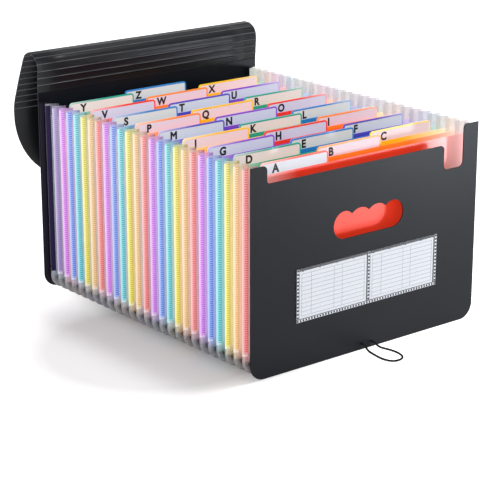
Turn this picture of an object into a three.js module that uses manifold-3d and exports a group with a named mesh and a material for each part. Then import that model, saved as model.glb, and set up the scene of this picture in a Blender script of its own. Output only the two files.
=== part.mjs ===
// Accordion file organizer, standing open: two stiff covers, 26 lettered dividers in a
// U-shaped pleated film body, a ribbed closing flap that hangs back from the rear cover,
// and an elastic loop at the foot of the front cover that hooks on the flap's button.
// Millimetres, +Z up. The front cover faces -Y and both covers stand on their lower edges.

import * as THREE from "three";
import { mergeVertices } from "three/addons/utils/BufferGeometryUtils.js";
import Module from "manifold-3d";

const wasm = await Module();
wasm.setup();

// Overall body
const width = 330;
const depth = 398.9;
const coverHeight = 232.6;
const coverThickness = 1.2;
const coverCornerRadius = 18;
const dividerCount = 26;

// Front cover's top edge: an ear at each side, and a slot beside the right ear
const earRise = 19.6;
const leftEarWidth = 22;
const rightEarWidth = 23;
const earRadius = 5.5;
const notchRadius = 4;
const slotWidth = 30;
const slotDrop = 28.5;
const slotRadius = 6;

// Handle hole, with a scalloped upper side
const handleDrop = 64;
const handleLength = 102;
const handleHeight = 31;
const scallopWidth = 24.5;

// Clear label pocket on the front cover, and its two cards
const labelBelowHandle = 21;
const labelHeight = 60;
const cardWidth = 96;
const cardHeight = 53;
const cardThickness = 0.4;
const cardClearance = 0.25;
const cardPlay = 2.2;
const nickCount = 4;
const nickWidth = 2.4;
const nickDepth = 0.9;
const weldWidth = 3.4;
const labelFilm = 0.4;

// Pleated film body
const filmThickness = 0.5;
const filmInset = 0.5;
const filmLift = 2;
const filmTop = 231.5;
const pleatDepth = 14.2;
const seatGap = 0.3;
const cornerSteps = 5;

// Welded edge strip on the front face of every pleat
const stripWidth = 6.2;
const stripRaise = 0.3;
const stripSink = 0.2;
const stripBottom = 25;
const stripTopDrop = 2.5;
const stripFromFold = 0.4;

// Dividers and their tabs
const dividerThickness = 0.6;
const dividerTop = 217.5;
const tabTop = 231;
const tabOverlap = 2;
const tabMarginLeft = 22.5;
const tabMarginRight = 30.5;
const tabRadius = 4;
const tabThickness = 1.6;
const tabSleeveDrop = 3;
const tabBorder = 1.7;
const tabWindowDepth = 0.25;

// Flap: evenly spaced creases, each with the sheet's heading in degrees above the rearward
// direction, then a plain end with large round corners
const hingeHeight = 242.5;
const creaseSpacing = 8.35;
const creaseHeadings = [94, 94, 94, 93, 74, 36, 14, -10, -52, -66, -66, -66, -66, -68, -68, -68, -74, -86];
const bendSteps = 3;
const plainHeading = -88.5;
const plainLength = 100;
const flapCornerRadius = 94;
const beadWidth = 1.6;
const outerBead = 0.65;
const innerBead = 0.5;

// Button on the flap, and the rivet that holds it
const buttonFromEdge = 26;
const buttonHeadRadius = 8;
const buttonHeadThickness = 2.4;
const buttonNeckRadius = 4;
const buttonNeckLength = 4;
const buttonStemRadius = 2.6;
const rivetRadius = 5;
const rivetThickness = 0.9;
const rivetPinRadius = 1.2;

// Elastic loop and its end barbs
const cordDiameter = 2.4;
const cordHoleHeight = 6.2;
const cordLeftX = -6;
const cordRightX = 8;
const barbLength = 11;
const barbHeight = 1.8;
const barbThickness = 0.8;

// Values that follow from the ones above
const halfWidth = width / 2;
const frontFace = -depth / 2;
const frontInside = frontFace + coverThickness;
const backFace = depth / 2;
const backInside = backFace - coverThickness;
const pitch = depth / (dividerCount + 1);
const frontTop = coverHeight - earRise;
const handleCentre = frontTop - handleDrop;
const labelTop = handleCentre - handleHeight / 2 - labelBelowHandle;
const labelBottom = labelTop - labelHeight;
const pleatSlope = pleatDepth / (pitch / 2);
const filmAcross = filmThickness * Math.hypot(pleatSlope, 1);
const dividerInset = filmInset + filmAcross + (dividerThickness / 2) * pleatSlope + seatGap;
const dividerLift = filmLift + filmAcross + (dividerThickness / 2) * pleatSlope + seatGap;
const dividerHalf = halfWidth - dividerInset;
const tabWidth = (2 * dividerHalf - tabMarginLeft - tabMarginRight + 2 * tabOverlap) / 3;
const hingeY = (backFace + backInside) / 2;
const coverGapAtHinge = coverThickness / 2 + seatGap;

const dividerY = (index) => frontFace + pitch * (index + 1);

// Colours: the dividers run through seven, from the front
const dividerColours = [0xf0402a, 0xff9d28, 0xe8cc18, 0x18b08c, 0x2f7fd8, 0x4c4fc0, 0xa860d8];
const black = 0x1c1d20;

function material(color, roughness, metalness = 0, opacity = 1) {
  return new THREE.MeshStandardMaterial({
    color, roughness, metalness, opacity, transparent: opacity < 1,
  });
}

const organizer = new THREE.Group();

function add(name, geometry, finish, y = 0) {
  const mesh = new THREE.Mesh(geometry, finish);
  mesh.name = name;
  mesh.position.y = y;
  organizer.add(mesh);
  return mesh;
}

// Booleans

function signedVolume(positions, triangles) {
  const [a, b, c] = [0, 0, 0].map(() => new THREE.Vector3());
  let volume = 0;
  for (let i = 0; i < triangles.length; i += 3) {
    a.fromArray(positions, 3 * triangles[i]);
    b.fromArray(positions, 3 * triangles[i + 1]);
    c.fromArray(positions, 3 * triangles[i + 2]);
    volume += a.dot(b.cross(c)) / 6;
  }
  return volume;
}

function closedGeometry(positions, triangles) {
  const facing = Array.from(triangles);
  if (signedVolume(positions, facing) < 0) {
    facing.reverse();
  }
  const geometry = new THREE.BufferGeometry();
  geometry.setAttribute("position", new THREE.Float32BufferAttribute(positions, 3));
  geometry.setIndex(facing);
  return geometry;
}

function welded(geometry) {
  const bare = geometry.clone();
  bare.deleteAttribute("normal");
  bare.deleteAttribute("uv");
  const merged = mergeVertices(bare, 1e-4);
  return closedGeometry(merged.attributes.position.array, merged.index.array);
}

function toSolid(geometry) {
  const merged = welded(geometry);
  const mesh = new wasm.Mesh({
    numProp: 3,
    vertProperties: new Float32Array(merged.attributes.position.array),
    triVerts: new Uint32Array(merged.index.array),
  });
  return new wasm.Manifold(mesh);
}

function fromSolid(solid) {
  const mesh = solid.getMesh();
  const positions = [];
  for (let i = 0; i < mesh.vertProperties.length; i += mesh.numProp) {
    positions.push(...mesh.vertProperties.slice(i, i + 3));
  }
  return closedGeometry(positions, mesh.triVerts);
}

// Upright sheets, drawn in X and Z and extruded from y = 0 to y = thickness

function upright(shape, thickness, segments = 6) {
  const geometry = new THREE.ExtrudeGeometry(shape, {
    depth: thickness, bevelEnabled: false, curveSegments: segments,
  });
  geometry.rotateX(Math.PI / 2);
  geometry.translate(0, thickness, 0);
  return geometry;
}

function rectangle(left, bottom, right, top) {
  const shape = new THREE.Shape();
  shape.moveTo(left, bottom);
  shape.lineTo(right, bottom);
  shape.lineTo(right, top);
  shape.lineTo(left, top);
  shape.closePath();
  return shape;
}

function startRoundedFoot(halfSpan, bottom, radius) {
  const shape = new THREE.Shape();
  shape.moveTo(-halfSpan, bottom + radius);
  shape.absarc(-halfSpan + radius, bottom + radius, radius, Math.PI, 1.5 * Math.PI);
  shape.absarc(halfSpan - radius, bottom + radius, radius, 1.5 * Math.PI, 2 * Math.PI);
  return shape;
}

function cylinderAlongY(radius, length, x, y, z, sides = 20) {
  const geometry = new THREE.CylinderGeometry(radius, radius, length, sides);
  geometry.translate(x, y, z);
  return geometry;
}

// Covers

function handleHole() {
  const radius = handleHeight / 2;
  const endX = handleLength / 2 - radius;
  const top = handleCentre + radius;
  const dipX = scallopWidth;
  const dipAngle = Math.acos((endX - dipX) / radius);
  const dipZ = handleCentre + radius * Math.sin(dipAngle);
  const rise = top - dipZ;
  const lobeRadius = ((scallopWidth / 2) ** 2 + rise ** 2) / (2 * rise);
  const lobeHalfAngle = Math.asin(scallopWidth / 2 / lobeRadius);
  const hole = new THREE.Path();
  hole.moveTo(-endX, handleCentre - radius);
  hole.absarc(endX, handleCentre, radius, -Math.PI / 2, Math.PI - dipAngle, false);
  for (const lobeX of [scallopWidth / 2, -scallopWidth / 2]) {
    hole.absarc(
      lobeX, top - lobeRadius, lobeRadius,
      Math.PI / 2 - lobeHalfAngle, Math.PI / 2 + lobeHalfAngle, false,
    );
  }
  hole.absarc(-endX, handleCentre, radius, dipAngle, 1.5 * Math.PI, false);
  return hole;
}

function roundHole(x, z, radius) {
  const hole = new THREE.Path();
  hole.absarc(x, z, radius, 0, 2 * Math.PI, true);
  return hole;
}

function frontCoverShape() {
  const slotRight = halfWidth - rightEarWidth;
  const slotLeft = slotRight - slotWidth;
  const slotBottom = frontTop - slotDrop;
  const leftEarEdge = -halfWidth + leftEarWidth;
  const shape = startRoundedFoot(halfWidth, 0, coverCornerRadius);
  shape.lineTo(halfWidth, coverHeight);
  shape.absarc(slotRight + earRadius, coverHeight - earRadius, earRadius, Math.PI / 2, Math.PI);
  shape.absarc(slotRight - slotRadius, slotBottom + slotRadius, slotRadius, 0, -Math.PI / 2, true);
  shape.absarc(slotLeft + slotRadius, slotBottom + slotRadius, slotRadius, -Math.PI / 2, -Math.PI, true);
  shape.absarc(slotLeft - earRadius, frontTop - earRadius, earRadius, 0, Math.PI / 2);
  shape.absarc(leftEarEdge + notchRadius, frontTop + notchRadius, notchRadius, -Math.PI / 2, -Math.PI, true);
  shape.absarc(leftEarEdge - earRadius, coverHeight - earRadius, earRadius, 0, Math.PI / 2);
  shape.lineTo(-halfWidth, coverHeight);
  shape.closePath();
  const cordHoleRadius = cordDiameter / 2 + seatGap;
  shape.holes.push(
    handleHole(),
    roundHole(cordLeftX, cordHoleHeight, cordHoleRadius),
    roundHole(cordRightX, cordHoleHeight, cordHoleRadius),
  );
  return shape;
}

function backCoverShape() {
  const top = hingeHeight - coverGapAtHinge;
  const shape = startRoundedFoot(halfWidth, 0, coverCornerRadius);
  shape.lineTo(halfWidth, top);
  shape.lineTo(-halfWidth, top);
  shape.closePath();
  return shape;
}

add("front_cover", upright(frontCoverShape(), coverThickness), material(black, 0.5), frontFace);
add("back_cover", upright(backCoverShape(), coverThickness), material(black, 0.5), backInside);

// Label pocket: one clear sheet, welded to the cover along three sides and down the middle

const cardBay = cardWidth + cardPlay;
const pocketDepth = cardThickness + 2 * cardClearance;
const labelHalf = cardBay + 1.5 * weldWidth;

function weldShape() {
  const shape = new THREE.Shape();
  shape.moveTo(-labelHalf, labelBottom);
  shape.lineTo(labelHalf, labelBottom);
  shape.lineTo(labelHalf, labelTop);
  shape.lineTo(labelHalf - weldWidth, labelTop);
  shape.lineTo(labelHalf - weldWidth, labelBottom + weldWidth);
  shape.lineTo(weldWidth / 2, labelBottom + weldWidth);
  shape.lineTo(weldWidth / 2, labelTop);
  shape.lineTo(-weldWidth / 2, labelTop);
  shape.lineTo(-weldWidth / 2, labelBottom + weldWidth);
  shape.lineTo(-labelHalf + weldWidth, labelBottom + weldWidth);
  shape.lineTo(-labelHalf + weldWidth, labelTop);
  shape.lineTo(-labelHalf, labelTop);
  shape.closePath();
  return shape;
}

function labelPocket() {
  const sheet = upright(rectangle(-labelHalf, labelBottom, labelHalf, labelTop), labelFilm);
  sheet.translate(0, -labelFilm, 0);
  const welds = upright(weldShape(), pocketDepth + labelFilm / 2);
  welds.translate(0, -labelFilm / 2, 0);
  return fromSolid(toSolid(sheet).add(toSolid(welds)));
}

add("label_pocket", labelPocket(), material(0xe8ecf0, 0.15, 0, 0.4), frontFace - pocketDepth);

// A card's top edge keeps the nicks where it was torn from its sheet
function cardShape(centre) {
  const bottom = labelBottom + weldWidth + seatGap;
  const top = bottom + cardHeight;
  const left = centre - cardWidth / 2;
  const right = centre + cardWidth / 2;
  const shape = new THREE.Shape();
  shape.moveTo(left, bottom);
  shape.lineTo(right, bottom);
  shape.lineTo(right, top);
  for (let nick = nickCount - 1; nick >= 0; nick -= 1) {
    const x = left + cardWidth * ((nick + 0.15) / nickCount);
    shape.lineTo(x + nickWidth, top);
    shape.lineTo(x + 0.7 * nickWidth, top - nickDepth);
    shape.lineTo(x + 0.3 * nickWidth, top - nickDepth);
    shape.lineTo(x, top);
  }
  shape.lineTo(left, top);
  shape.closePath();
  return shape;
}

for (const [side, name] of [[-1, "label_card_left"], [1, "label_card_right"]]) {
  const centre = side * (weldWidth / 2 + cardBay / 2);
  add(name, upright(cardShape(centre), cardThickness), material(0xf4f5f8, 0.8),
    frontFace - cardClearance - cardThickness);
}

// Pleated film body: a zigzag of folds carried round a U of two sides, two corners and a bottom

function uPath(inward) {
  const half = halfWidth - filmInset - inward;
  const bottom = filmLift + inward;
  const radius = coverCornerRadius - inward;
  const stations = [[-half, filmTop]];
  for (const [centreX, start] of [[-half + radius, Math.PI], [half - radius, 1.5 * Math.PI]]) {
    for (let step = 0; step <= cornerSteps; step += 1) {
      const angle = start + (Math.PI / 2) * (step / cornerSteps);
      stations.push([centreX + radius * Math.cos(angle), bottom + radius + radius * Math.sin(angle)]);
    }
  }
  stations.push([half, filmTop]);
  return stations;
}

function pleatFolds() {
  const peaks = [frontInside + seatGap];
  for (let index = 0; index < dividerCount; index += 1) {
    peaks.push(dividerY(index));
  }
  peaks.push(backInside - seatGap);
  const folds = [[peaks[0], 0]];
  for (let i = 1; i < peaks.length; i += 1) {
    folds.push([(peaks[i - 1] + peaks[i]) / 2, pleatDepth]);
    folds.push([peaks[i], 0]);
  }
  return folds;
}

function pleatedBody() {
  const positions = [];
  const folds = pleatFolds();
  for (const layer of [0, filmAcross]) {
    for (const [y, inward] of folds) {
      for (const [x, z] of uPath(inward + layer)) {
        positions.push(x, y, z);
      }
    }
  }
  const across = uPath(0).length;
  const along = folds.length;
  const at = (layer, fold, station) => (layer * along + fold) * across + station;
  const triangles = [];
  const quad = (a, b, c, d) => triangles.push(a, b, c, a, c, d);
  for (let fold = 0; fold < along - 1; fold += 1) {
    for (let station = 0; station < across - 1; station += 1) {
      quad(at(0, fold, station), at(0, fold, station + 1),
        at(0, fold + 1, station + 1), at(0, fold + 1, station));
      quad(at(1, fold, station), at(1, fold + 1, station),
        at(1, fold + 1, station + 1), at(1, fold, station + 1));
    }
    quad(at(0, fold, 0), at(0, fold + 1, 0), at(1, fold + 1, 0), at(1, fold, 0));
    const last = across - 1;
    quad(at(0, fold, last), at(1, fold, last), at(1, fold + 1, last), at(0, fold + 1, last));
  }
  for (let station = 0; station < across - 1; station += 1) {
    const end = along - 1;
    quad(at(0, 0, station), at(1, 0, station), at(1, 0, station + 1), at(0, 0, station + 1));
    quad(at(0, end, station), at(0, end, station + 1), at(1, end, station + 1), at(1, end, station));
  }
  return closedGeometry(positions, triangles);
}

function edgeStrip(side, index) {
  const foldX = halfWidth - filmInset;
  const length = Math.hypot(pleatDepth, pitch / 2);
  const along = [-pleatDepth / length, -pitch / 2 / length];
  const outward = [pitch / 2 / length, -pleatDepth / length];
  const corner = (run, rise) => [
    side * (foldX + run * along[0] + rise * outward[0]),
    dividerY(index) + run * along[1] + rise * outward[1],
  ];
  const outline = new THREE.Shape();
  outline.moveTo(...corner(stripFromFold, -stripSink));
  outline.lineTo(...corner(stripWidth, -stripSink));
  outline.lineTo(...corner(stripWidth, stripRaise));
  outline.lineTo(...corner(stripFromFold, stripRaise));
  outline.closePath();
  const height = filmTop - stripTopDrop - stripBottom;
  const strip = new THREE.ExtrudeGeometry(outline, { depth: height, bevelEnabled: false });
  strip.translate(0, 0, stripBottom);
  return strip;
}

function bellowsWithStrips() {
  let body = toSolid(pleatedBody());
  for (let index = 0; index < dividerCount; index += 1) {
    for (const side of [-1, 1]) {
      body = body.add(toSolid(edgeStrip(side, index)));
    }
  }
  return fromSolid(body);
}

add("bellows", bellowsWithStrips(), material(0xc4cbd4, 0.3, 0, 0.6));

// Dividers: a sheet whose tab stands in one of three columns, inside a thicker sleeve

function tabOutline(left, bottom, inset) {
  const right = left + tabWidth - inset;
  const top = tabTop - inset;
  const radius = tabRadius - inset;
  const shape = new THREE.Shape();
  shape.moveTo(left + inset, bottom);
  shape.lineTo(right, bottom);
  shape.absarc(right - radius, top - radius, radius, 0, Math.PI / 2);
  shape.absarc(left + inset + radius, top - radius, radius, Math.PI / 2, Math.PI);
  shape.closePath();
  return shape;
}

// The sleeve's coloured border stands round a sunk window on each face, where the letter card shows
function tabSleeve(left) {
  const sleeve = upright(tabOutline(left, dividerTop - tabSleeveDrop, 0), tabThickness, 3);
  sleeve.translate(0, -tabThickness / 2, 0);
  let solid = toSolid(sleeve);
  for (const side of [-1, 1]) {
    const window = upright(tabOutline(left, dividerTop, tabBorder), tabThickness, 2);
    window.translate(0, side * (tabThickness - tabWindowDepth) - tabThickness / 2, 0);
    solid = solid.subtract(toSolid(window));
  }
  return solid;
}

function divider(index) {
  const left = -dividerHalf + tabMarginLeft + (index % 3) * (tabWidth - tabOverlap);
  const sheet = startRoundedFoot(dividerHalf, dividerLift, coverCornerRadius - dividerInset + filmInset);
  sheet.lineTo(dividerHalf, dividerTop);
  sheet.lineTo(-dividerHalf, dividerTop);
  sheet.closePath();
  const page = upright(sheet, dividerThickness, 4);
  page.translate(0, -dividerThickness / 2, 0);
  return fromSolid(toSolid(page).add(tabSleeve(left)));
}

for (let index = 0; index < dividerCount; index += 1) {
  const letter = String.fromCharCode("a".charCodeAt(0) + index);
  const colour = dividerColours[index % dividerColours.length];
  add(`divider_${letter}`, divider(index), material(colour, 0.35, 0, 0.85), dividerY(index));
}

// Flap: its side view, in Y and Z, is a sheet of even thickness that turns at each crease

function headingVector(degrees) {
  const angle = THREE.MathUtils.degToRad(degrees);
  return new THREE.Vector2(Math.cos(angle), Math.sin(angle));
}

// Straight runs of the sheet: a few between each two creases, so that it bends evenly, then
// the plain end
function flapRuns() {
  const runs = [];
  for (let crease = 1; crease < creaseHeadings.length; crease += 1) {
    for (let step = 0; step < bendSteps; step += 1) {
      const share = (step + 0.5) / bendSteps;
      const heading = THREE.MathUtils.lerp(creaseHeadings[crease - 1], creaseHeadings[crease], share);
      runs.push({ heading, length: creaseSpacing / bendSteps, creased: step === 0 && crease > 1 });
    }
  }
  runs.push({ heading: plainHeading, length: plainLength, creased: true });
  let start = new THREE.Vector2(hingeY, hingeHeight);
  for (const run of runs) {
    run.direction = headingVector(run.heading);
    run.outward = headingVector(run.heading + 90);
    run.start = start;
    run.end = start.clone().addScaledVector(run.direction, run.length);
    start = run.end;
  }
  return runs;
}

const runs = flapRuns();
const flapEnd = runs.at(-1).end;
const flapEndZ = flapEnd.y;
const flapEndY = (z) => flapEnd.x - (z - flapEndZ) / Math.tan(THREE.MathUtils.degToRad(-plainHeading));

// One face of the sheet, on the side given as 1 for the outer face and -1 for the inner one:
// a corner at every bend, and a low bead at every crease
function flapFace(side, beadHeight) {
  const half = coverThickness / 2;
  const points = [];
  for (let i = 1; i < runs.length; i += 1) {
    const [before, after] = [runs[i - 1], runs[i]];
    const bend = THREE.MathUtils.degToRad(before.heading - after.heading) / 2;
    const middle = headingVector((before.heading + after.heading) / 2 + 90);
    const corner = (rise) => after.start.clone()
      .addScaledVector(middle, side * (half / Math.cos(bend) + rise));
    if (after.creased) {
      points.push(corner(0).addScaledVector(before.direction, -beadWidth / 2));
      points.push(corner(beadHeight));
      points.push(corner(0).addScaledVector(after.direction, beadWidth / 2));
    } else {
      points.push(corner(0));
    }
  }
  return points;
}

function flapProfile() {
  const half = coverThickness / 2;
  const outer = flapFace(1, outerBead);
  const inner = flapFace(-1, innerBead);
  const last = runs.at(-1);
  outer.push(last.end.clone().addScaledVector(last.outward, half));
  inner.push(last.end.clone().addScaledVector(last.outward, -half));
  const shape = new THREE.Shape();
  const startAngle = THREE.MathUtils.degToRad(runs[0].heading - 90);
  shape.absarc(hingeY, hingeHeight, half, startAngle, startAngle - Math.PI, true);
  for (const point of [...outer, ...inner.reverse()]) {
    shape.lineTo(point.x, point.y);
  }
  shape.closePath();
  return shape;
}

function flapCornerCutter(side) {
  const margin = 2;
  const edge = side * halfWidth;
  const centreX = edge - side * flapCornerRadius;
  const centreZ = flapEndZ + flapCornerRadius;
  const shape = new THREE.Shape();
  shape.moveTo(edge, centreZ);
  const [from, to, clockwise] = side > 0 ? [0, -Math.PI / 2, true] : [Math.PI, 1.5 * Math.PI, false];
  shape.absarc(centreX, centreZ, flapCornerRadius, from, to, clockwise);
  shape.lineTo(centreX, flapEndZ - margin);
  shape.lineTo(edge + side * margin, flapEndZ - margin);
  shape.lineTo(edge + side * margin, centreZ);
  shape.closePath();
  const reach = 4 * coverThickness + flapCornerRadius * Math.abs(Math.cos(THREE.MathUtils.degToRad(plainHeading)));
  const cutter = upright(shape, 2 * reach, 14);
  cutter.translate(0, flapEnd.x - reach, 0);
  return toSolid(cutter);
}

const buttonZ = flapEndZ + buttonFromEdge;
const buttonY = flapEndY(buttonZ);

function flap() {
  const band = new THREE.ExtrudeGeometry(flapProfile(), {
    depth: width, bevelEnabled: false, curveSegments: 4,
  });
  const toYZ = new THREE.Matrix4().makeBasis(
    new THREE.Vector3(0, 1, 0), new THREE.Vector3(0, 0, 1), new THREE.Vector3(1, 0, 0),
  );
  band.applyMatrix4(toYZ);
  band.translate(-halfWidth, 0, 0);
  const hole = cylinderAlongY(buttonStemRadius + seatGap, 6 * coverThickness, 0, buttonY, buttonZ);
  const cut = toSolid(band)
    .subtract(flapCornerCutter(-1))
    .subtract(flapCornerCutter(1))
    .subtract(toSolid(hole));
  return fromSolid(cut);
}

add("cover_flap", flap(), material(0x151619, 0.45));

// Button and rivet: turned about an axis that runs along Y, through the flap's plain end

function turnedAlongY(points) {
  const profile = points.map(([radius, y]) => new THREE.Vector2(radius, y));
  return welded(new THREE.LatheGeometry(profile, 24));
}

const towardCover = -(coverThickness / 2 + seatGap);
const towardRear = coverThickness / 2 + seatGap;

const buttonProfile = [
  [0, towardCover - buttonNeckLength - buttonHeadThickness],
  [buttonHeadRadius * 0.7, towardCover - buttonNeckLength - buttonHeadThickness * 0.85],
  [buttonHeadRadius, towardCover - buttonNeckLength - buttonHeadThickness * 0.35],
  [buttonHeadRadius, towardCover - buttonNeckLength],
  [buttonNeckRadius, towardCover - buttonNeckLength + 0.8],
  [buttonNeckRadius, towardCover],
  [buttonStemRadius, towardCover],
  [buttonStemRadius, towardRear - seatGap],
  [rivetPinRadius + seatGap, towardRear - seatGap],
  [rivetPinRadius + seatGap, towardCover - buttonNeckLength],
  [0, towardCover - buttonNeckLength],
];
const rivetProfile = [
  [0, towardCover - buttonNeckLength + seatGap],
  [rivetPinRadius, towardCover - buttonNeckLength + seatGap],
  [rivetPinRadius, towardRear],
  [rivetRadius, towardRear],
  [rivetRadius * 0.8, towardRear + rivetThickness],
  [0, towardRear + rivetThickness],
];
const metalGrey = material(0x9a9ca0, 0.35, 1);

for (const [name, profile, finish] of [
  ["flap_button", buttonProfile, material(0x111214, 0.3)],
  ["button_rivet", rivetProfile, metalGrey],
]) {
  add(name, turnedAlongY(profile), finish, buttonY).position.z = buttonZ;
}

// Elastic loop: it leaves one hole, lies on the table in front, and goes back into the other

const cordLow = cordDiameter / 2 + 0.15;
const cordRoute = [
  [cordLeftX, frontInside - seatGap, cordHoleHeight],
  [cordLeftX, frontFace - 1.2, cordHoleHeight],
  [cordLeftX - 0.1, frontFace - 3, 5.85],
  [cordLeftX - 0.3, frontFace - 5, 4.95],
  [cordLeftX - 0.6, frontFace - 7, 3.6],
  [cordLeftX - 1, frontFace - 9.2, 2.35],
  [cordLeftX - 1.5, frontFace - 11.8, 1.6],
  [cordLeftX - 2.2, frontFace - 15, cordLow],
  [-10.2, frontFace - 26, cordLow],
  [-11.4, frontFace - 36, cordLow],
  [-10.4, frontFace - 44.6, cordLow],
  [-6.6, frontFace - 50.4, cordLow],
  [0, frontFace - 52, cordLow],
  [7, frontFace - 50, cordLow],
  [12, frontFace - 44, cordLow],
  [14.4, frontFace - 34, cordLow],
  [13.8, frontFace - 24, cordLow],
  [cordRightX + 3.8, frontFace - 15, cordLow],
  [cordRightX + 2.7, frontFace - 11.8, 1.6],
  [cordRightX + 1.9, frontFace - 9.2, 2.35],
  [cordRightX + 1.2, frontFace - 7, 3.6],
  [cordRightX + 0.6, frontFace - 5, 4.95],
  [cordRightX + 0.2, frontFace - 3, 5.85],
  [cordRightX, frontFace - 1.2, cordHoleHeight],
  [cordRightX, frontInside - seatGap, cordHoleHeight],
];

function cordTube() {
  const path = new THREE.CatmullRomCurve3(cordRoute.map((point) => new THREE.Vector3(...point)));
  const section = new THREE.Shape();
  section.absarc(0, 0, cordDiameter / 2, 0, 2 * Math.PI);
  return new THREE.ExtrudeGeometry(section, {
    steps: 56, curveSegments: 4, extrudePath: path,
  });
}

add("elastic_loop", cordTube(), material(0x16171a, 0.85));

for (const [name, x] of [["loop_barb_left", cordLeftX], ["loop_barb_right", cordRightX]]) {
  const half = barbHeight / 2;
  const reach = barbLength / 2 - half;
  const barb = new THREE.Shape();
  barb.absarc(x + reach, cordHoleHeight, half, -Math.PI / 2, Math.PI / 2);
  barb.absarc(x - reach, cordHoleHeight, half, Math.PI / 2, 1.5 * Math.PI);
  barb.closePath();
  add(name, upright(barb, barbThickness, 4), metalGrey, frontInside + seatGap);
}

// Origin: under the middle of the box that holds everything but the loose elastic

const box = new THREE.Box3();
for (const mesh of organizer.children) {
  if (mesh.name !== "elastic_loop") {
    box.expandByObject(mesh, true);
  }
}
organizer.position.y = -(box.min.y + box.max.y) / 2;

export default organizer;
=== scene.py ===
# Looks of the accordion file organizer: camera, materials, elastic loop, pleated film and its
# strips, tabs, label pocket, ribbed flap, floor and light. Metres, +Z up, the front toward -Y.

import math

import bpy
from mathutils import Matrix, Vector


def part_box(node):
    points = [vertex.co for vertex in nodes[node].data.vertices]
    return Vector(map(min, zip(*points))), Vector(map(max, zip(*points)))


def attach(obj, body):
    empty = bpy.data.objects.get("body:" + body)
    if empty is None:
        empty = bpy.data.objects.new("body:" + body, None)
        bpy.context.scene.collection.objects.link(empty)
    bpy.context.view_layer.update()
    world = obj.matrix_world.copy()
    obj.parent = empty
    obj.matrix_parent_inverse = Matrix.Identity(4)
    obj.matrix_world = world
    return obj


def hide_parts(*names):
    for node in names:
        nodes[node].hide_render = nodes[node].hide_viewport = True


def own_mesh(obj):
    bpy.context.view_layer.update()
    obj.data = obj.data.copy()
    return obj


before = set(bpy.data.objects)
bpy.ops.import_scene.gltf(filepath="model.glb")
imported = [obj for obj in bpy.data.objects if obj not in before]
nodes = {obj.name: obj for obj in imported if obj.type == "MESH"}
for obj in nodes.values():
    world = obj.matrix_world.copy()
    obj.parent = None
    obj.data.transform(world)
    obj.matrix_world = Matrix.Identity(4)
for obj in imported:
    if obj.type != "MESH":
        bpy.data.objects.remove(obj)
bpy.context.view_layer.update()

# Places taken from the frame

FRONT_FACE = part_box("front_cover")[0].y
FRONT_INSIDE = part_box("front_cover")[1].y
BACK_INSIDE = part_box("back_cover")[0].y
BACK_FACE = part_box("back_cover")[1].y
HALF_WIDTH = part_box("front_cover")[1].x
DEPTH = BACK_FACE - FRONT_FACE
MIDDLE_Y = (FRONT_FACE + BACK_FACE) / 2
LETTERS = [chr(ord("A") + i) for i in range(26)]
PITCH = DEPTH / (len(LETTERS) + 1)
DIVIDER_Y = [FRONT_FACE + PITCH * (i + 1) for i in range(len(LETTERS))]

# Camera: the photograph's angle and lens, aimed at a point between the covers

CAMERA_AZIMUTH = math.radians(-38.994)
CAMERA_ELEVATION = math.radians(17.703)
CAMERA_DISTANCE = 2.0575
CAMERA_TARGET = Vector((-0.0043, MIDDLE_Y, 0.0651))
CAMERA_LENS = 125.58
SENSOR = 36.0


def make_camera():
    back = Vector((
        math.sin(CAMERA_AZIMUTH) * math.cos(CAMERA_ELEVATION),
        -math.cos(CAMERA_AZIMUTH) * math.cos(CAMERA_ELEVATION),
        math.sin(CAMERA_ELEVATION),
    ))
    data = bpy.data.cameras.new("camera")
    data.lens = CAMERA_LENS
    data.sensor_width = SENSOR
    data.clip_end = 50
    camera = bpy.data.objects.new("camera", data)
    camera.location = CAMERA_TARGET + back * CAMERA_DISTANCE
    camera.rotation_mode = "QUATERNION"
    camera.rotation_quaternion = (-back).to_track_quat("-Z", "Y")
    bpy.context.scene.collection.objects.link(camera)
    bpy.context.scene.camera = camera


make_camera()

# Mesh and material helpers


def new_piece(name, vertices, faces, finish, body):
    mesh = bpy.data.meshes.new(name)
    mesh.from_pydata([tuple(v) for v in vertices], [], faces)
    mesh.update()
    mesh.materials.append(finish)
    piece = bpy.data.objects.new(name, mesh)
    bpy.context.scene.collection.objects.link(piece)
    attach(piece, body)
    return piece


def carry(piece, name, values):
    """Gives every vertex of a piece two numbers, in a UV layer that its material reads."""
    layer = piece.data.uv_layers.new(name=name)
    for loop in piece.data.loops:
        layer.data[loop.index].uv = values[loop.vertex_index]


def prism_faces(count, flipped=False):
    """Faces of a prism whose corners are listed as one ring and then the other."""
    faces = []
    for i in range(count):
        j = (i + 1) % count
        faces.append((i, j, count + j, count + i))
    faces.append(tuple(reversed(range(count))))
    faces.append(tuple(range(count, 2 * count)))
    return [tuple(reversed(face)) for face in faces] if flipped else faces


def box_parts(vertices, faces, low, high):
    """Adds one box, from its lowest to its highest corner, to a list of vertices and faces."""
    base = len(vertices)
    for z in (low[2], high[2]):
        for x, y in ((low[0], low[1]), (high[0], low[1]), (high[0], high[1]), (low[0], high[1])):
            vertices.append((x, y, z))
    faces.append((base, base + 3, base + 2, base + 1))
    faces.append((base + 4, base + 5, base + 6, base + 7))
    for i in range(4):
        j = (i + 1) % 4
        faces.append((base + i, base + j, base + 4 + j, base + 4 + i))


def srgb(red, green, blue):
    """A colour written as it looks on a screen, 0 to 255, as the renderer's linear colour."""
    def linear(value):
        value /= 255
        return value / 12.92 if value <= 0.04045 else ((value + 0.055) / 1.055) ** 2.4
    return (linear(red), linear(green), linear(blue), 1.0)


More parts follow.
